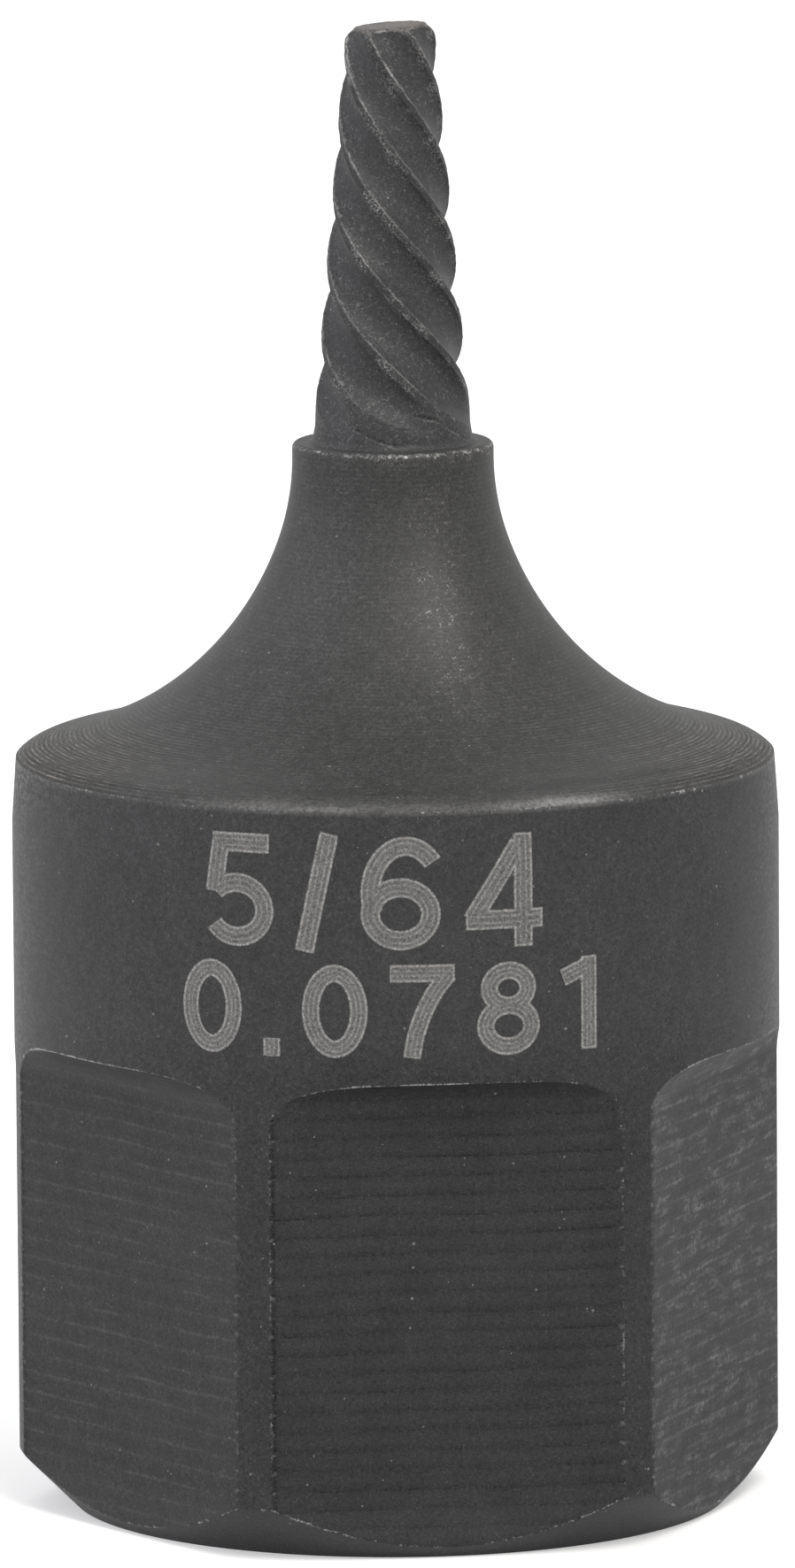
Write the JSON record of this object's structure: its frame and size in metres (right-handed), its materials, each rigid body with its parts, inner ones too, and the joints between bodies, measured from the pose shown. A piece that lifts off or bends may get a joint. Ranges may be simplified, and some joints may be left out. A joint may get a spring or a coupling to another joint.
{
  "type": "screw extractor",
  "caption": "Steel screw extractor: tapered left-hand spiral tip on a flared round body with wrench flats and a square drive socket.",
  "frame": {"origin": "centre of the flat ring round the mouth of the drive socket, which the part stands on", "axes": "+Z along the tool's axis towards the tip; the middle of one wrench flat faces -Y"},
  "size_m": [0.018, 0.018, 0.0349],
  "materials": {
    "black_steel": "matt black phosphated steel, worn bright on edges and ridges"
  },
  "bodies": {
    "root": {"screw_extractor": "black_steel"}
  },
  "joints": []
}
